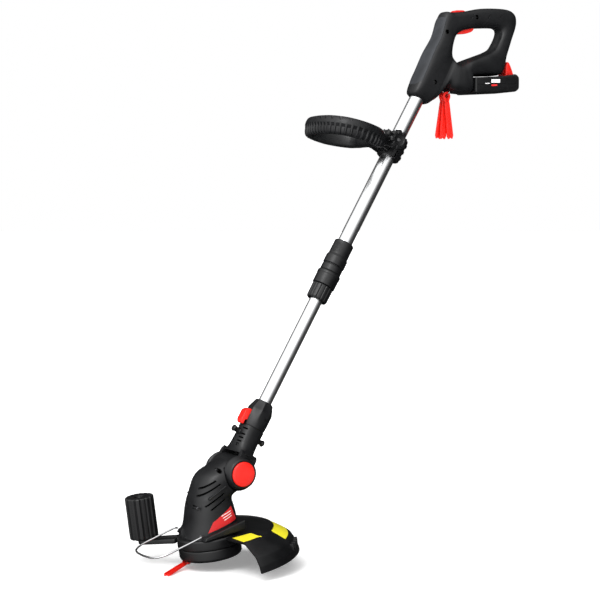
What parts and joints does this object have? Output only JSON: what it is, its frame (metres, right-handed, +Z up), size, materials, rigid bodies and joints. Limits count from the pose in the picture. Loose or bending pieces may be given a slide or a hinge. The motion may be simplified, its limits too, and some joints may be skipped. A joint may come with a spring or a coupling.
{
  "type": "string trimmer",
  "caption": "Cordless garden trimmer: loop handle with battery, telescopic tube, second handle, tilting motor head, guard, edging wheel and plastic blade.",
  "frame": {"origin": "centre of the bounding box's underside, on the ground where the blade tip touches", "axes": "+Z up, +X to the user's end (rear), +Y to the side of the edging wheel"},
  "size_m": [0.8117, 0.3148, 1.0285],
  "materials": {
    "charcoal_plastic": "fine spark texture, dark charcoal",
    "black_plastic": "fine matt texture, black",
    "red_plastic": "satin red",
    "aluminium_tube": "satin anodised",
    "steel": "plain steel",
    "cell_wrap": "shrink film"
  },
  "bodies": {
    "handle": {"handle_shell_left": "charcoal_plastic", "handle_shell_right": "charcoal_plastic", "trigger_switch": "black_plastic", "trigger_spring": "steel", "handle_screw_1": "steel", "handle_screw_2": "steel", "handle_screw_3": "steel", "battery_terminal_block": "black_plastic", "blade_hook": "steel", "upper_tube": "aluminium_tube", "telescope_sleeve": "black_plastic", "telescope_collet": "black_plastic", "telescope_ring": "black_plastic", "power_lead": "black_plastic"},
    "trigger": {"trigger": "red_plastic"},
    "lock_off": {"lock_off_button": "red_plastic"},
    "battery": {"battery_case": "charcoal_plastic", "battery_cells": "cell_wrap"},
    "battery_release": {"battery_release_button": "red_plastic"},
    "spare_1": {"spare_blade_1": "red_plastic"},
    "spare_2": {"spare_blade_2": "red_plastic"},
    "spare_3": {"spare_blade_3": "red_plastic"},
    "aux_clamp": {"aux_clamp_front": "black_plastic", "aux_clamp_rear": "black_plastic", "aux_bolt": "steel"},
    "aux_handle": {"aux_handle_loop": "charcoal_plastic"},
    "aux_knob": {"aux_knob": "black_plastic"},
    "clamp_nut": {"clamp_nut": "black_plastic"},
    "lower_shaft": {"lower_tube": "aluminium_tube", "collar_shell_left": "charcoal_plastic", "collar_shell_right": "charcoal_plastic"},
    "rotation_slider": {"rotation_slider": "red_plastic"},
    "neck": {"neck_shell_left": "charcoal_plastic", "neck_shell_right": "charcoal_plastic", "neck_spigot": "black_plastic", "blade_peg_front": "black_plastic", "blade_peg_rear": "black_plastic", "tilt_axle": "steel", "tilt_spring_left": "steel", "tilt_spring_right": "steel"},
    "tilt_button_left": {"tilt_button_left": "red_plastic"},
    "tilt_button_right": {"tilt_button_right": "red_plastic"},
    "head": {"motor_shell_left": "charcoal_plastic", "motor_shell_right": "charcoal_plastic", "housing_screw_1": "steel", "housing_screw_2": "steel", "motor_can": "steel", "motor_bearing": "steel", "guard": "black_plastic", "guard_screw_1": "steel", "guard_screw_2": "steel", "wheel_arm": "black_plastic", "wheel_axle": "steel"},
    "spindle": {"motor_shaft": "steel", "cooling_fan": "black_plastic", "blade_carrier": "black_plastic", "blade_post": "steel"},
    "blade": {"cutting_blade": "red_plastic"},
    "wire_guard": {"wire_guard": "steel"},
    "edge_wheel": {"edge_wheel": "black_plastic"}
  },
  "joints": [
    {"name": "trigger_press", "type": "hinge", "parent": "handle", "child": "trigger", "pos_m": [0.2648, 0, 0.9895], "axis": [0, -1, 0], "range_deg": [0, 2.6], "stiffness_Nm_per_rad": 1.2, "springref_deg": -2.86, "deforming": ["trigger_spring"]},
    {"name": "lock_off_press", "type": "slide", "parent": "handle", "child": "lock_off", "axis": [0, 0, -1], "range_m": [0, 0.003], "stiffness_N_per_m": 300, "springref_m": -0.002},
    {"name": "battery_slide", "type": "slide", "parent": "handle", "child": "battery", "axis": [1, 0, 0], "range_m": [0, 0.06]},
    {"name": "battery_release_press", "type": "slide", "parent": "battery", "child": "battery_release", "axis": [0, 0, -1], "range_m": [0, 0.003], "stiffness_N_per_m": 400, "springref_m": -0.002},
    {"name": "spare_blade_1_swing", "type": "hinge", "parent": "handle", "child": "spare_1", "pos_m": [0.2418, -0.0052, 0.8565], "axis": [0, 1, 0], "range_deg": [-25, 25]},
    {"name": "spare_blade_2_swing", "type": "hinge", "parent": "handle", "child": "spare_2", "pos_m": [0.2418, 0, 0.8565], "axis": [0, 1, 0], "range_deg": [-25, 25]},
    {"name": "spare_blade_3_swing", "type": "hinge", "parent": "handle", "child": "spare_3", "pos_m": [0.2418, 0.0052, 0.8565], "axis": [0, 1, 0], "range_deg": [-25, 25]},
    {"name": "aux_clamp_slide", "type": "slide", "parent": "handle", "child": "aux_clamp", "axis": [0.512, 0, 0.859], "range_m": [-0.12, 0.06]},
    {"name": "aux_handle_tilt", "type": "hinge", "parent": "aux_clamp", "child": "aux_handle", "pos_m": [0.09952, 0, 0.76639], "axis": [0, 1, 0], "range_deg": [-25, 60]},
    {"name": "aux_knob_turn", "type": "hinge", "parent": "aux_clamp", "child": "aux_knob", "pos_m": [0.09952, 0, 0.76639], "axis": [0, 1, 0], "continuous": true},
    {"name": "clamp_nut_turn", "type": "hinge", "parent": "handle", "child": "clamp_nut", "pos_m": [-0.03979, 0, 0.48388], "axis": [0.512, 0, 0.859], "range_deg": [0, 90]},
    {"name": "telescope_slide", "type": "slide", "parent": "handle", "child": "lower_shaft", "axis": [0.512, 0, 0.859], "range_m": [-0.08, 0.16]},
    {"name": "rotation_slider_push", "type": "slide", "parent": "lower_shaft", "child": "rotation_slider", "axis": [0.512, 0, 0.859], "range_m": [0, 0.006], "stiffness_N_per_m": 300, "springref_m": -0.002},
    {"name": "head_rotate", "type": "hinge", "parent": "lower_shaft", "child": "neck", "pos_m": [-0.18112, 0, 0.24681], "axis": [0.512, 0, 0.859], "range_deg": [-90, 90]},
    {"name": "tilt_button_left_press", "type": "slide", "parent": "neck", "child": "tilt_button_left", "axis": [0, 1, 0], "range_m": [0, 0.004], "stiffness_N_per_m": 500},
    {"name": "tilt_button_right_press", "type": "slide", "parent": "neck", "child": "tilt_button_right", "axis": [0, -1, 0], "range_m": [0, 0.004], "stiffness_N_per_m": 500},
    {"name": "head_tilt", "type": "hinge", "parent": "neck", "child": "head", "pos_m": [-0.2272, 0, 0.1695], "axis": [0, 1, 0], "range_deg": [-40, 25]},
    {"name": "spindle_spin", "type": "hinge", "parent": "head", "child": "spindle", "pos_m": [-0.26852, 0, 0.03241], "axis": [-0.1392, 0, 0.9903], "continuous": true},
    {"name": "blade_swing", "type": "hinge", "parent": "spindle", "child": "blade", "pos_m": [-0.30803, 0.014, 0.01171], "axis": [-0.1392, 0, 0.9903], "range_deg": [-70, 70]},
    {"name": "wire_guard_flip", "type": "hinge", "parent": "head", "child": "wire_guard", "pos_m": [-0.31172, 0, 0.06674], "axis": [0, 1, 0], "range_deg": [0, 70]},
    {"name": "edge_wheel_spin", "type": "hinge", "parent": "head", "child": "edge_wheel", "pos_m": [-0.36287, 0.085, 0.0858], "axis": [-0.1392, 0, 0.9903], "continuous": true}
  ]
}
